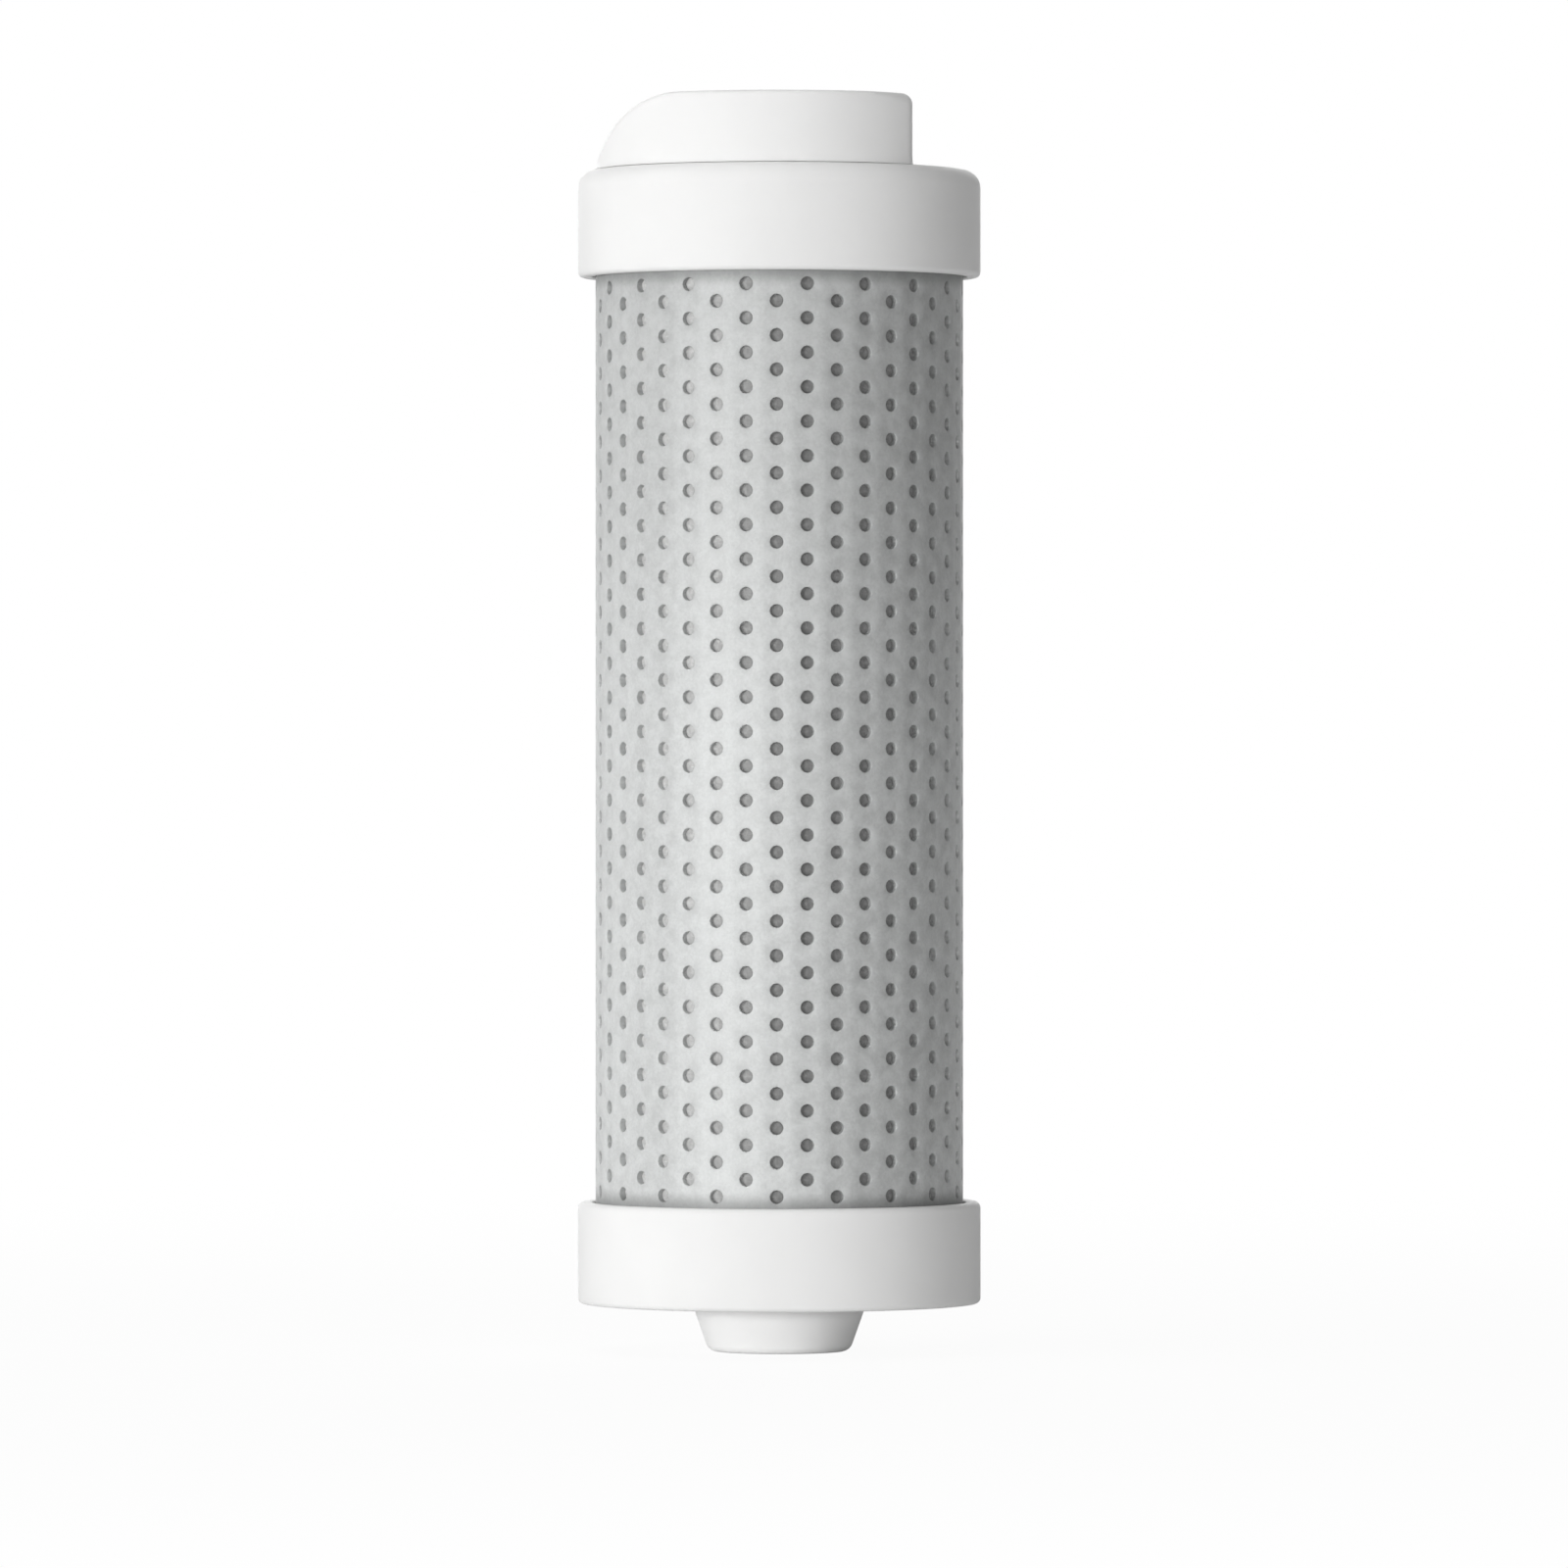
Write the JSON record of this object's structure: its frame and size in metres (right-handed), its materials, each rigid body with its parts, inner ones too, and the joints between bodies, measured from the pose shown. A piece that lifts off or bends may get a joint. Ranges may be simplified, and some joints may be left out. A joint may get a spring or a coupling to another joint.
{
  "type": "pump water filter cartridge",
  "caption": "Cylindrical cartridge of a pump water filter: perforated sleeve between screw-off top cap with keyed hub and bottom cap with tapered outlet nozzle and one-way valve.",
  "frame": {"origin": "centre of the outlet nozzle's flat tip, which the cartridge stands on", "axes": "+Z along the filter's axis, up towards the hub; +X towards the hub's key flat; -Y towards the picture's camera"},
  "size_m": [0.046, 0.046, 0.143],
  "materials": {
    "white_plastic": "satin",
    "perforated_sheet": "matte",
    "felt": "matte",
    "rubber": "matte",
    "silicone": "satin",
    "natural_plastic": "satin",
    "membrane": "matte",
    "carbon": "matte",
    "stainless_steel": "satin"
  },
  "bodies": {
    "cartridge": {"threaded_collar": "natural_plastic", "perforated_sleeve": "perforated_sheet", "felt_prefilter": "felt", "element_gasket": "rubber", "element_top_disc": "natural_plastic", "pleated_membrane": "membrane", "upper_carbon_pad": "felt", "carbon_block": "carbon", "lower_carbon_pad": "felt", "core_tube": "natural_plastic", "outlet_screen": "stainless_steel", "element_bottom_disc": "natural_plastic", "element_o_ring": "rubber", "bottom_end_cap": "white_plastic", "outlet_nozzle": "white_plastic", "nozzle_o_ring": "rubber", "valve_seat": "natural_plastic", "valve_spring": "stainless_steel"},
    "cap_seal": {"cap_gasket": "rubber"},
    "top_cap": {"top_end_cap": "white_plastic", "keyed_hub": "white_plastic", "hub_screw_1": "stainless_steel", "hub_screw_2": "stainless_steel", "hub_screw_3": "stainless_steel"},
    "poppet": {"valve_poppet": "natural_plastic", "poppet_seal": "silicone"}
  },
  "joints": [
    {"name": "cap_lift", "type": "slide", "parent": "cartridge", "child": "cap_seal", "axis": [0, 0, 1], "range_m": [0, 0.00641]},
    {"name": "cap_twist", "type": "hinge", "parent": "cap_seal", "child": "top_cap", "pos_m": [0, 0, 0.1288], "axis": [0, 0, 1], "range_deg": [0, 240]},
    {"name": "valve_slide", "type": "slide", "parent": "cartridge", "child": "poppet", "axis": [0, 0, -1], "range_m": [0, 0.0018], "stiffness_N_per_m": 120, "springref_m": -0.0006, "deforming": ["valve_spring"]}
  ],
  "couplings": [
    {"joint": "cap_lift", "follows": "cap_twist", "m_per_rad": 0.0015279}
  ]
}
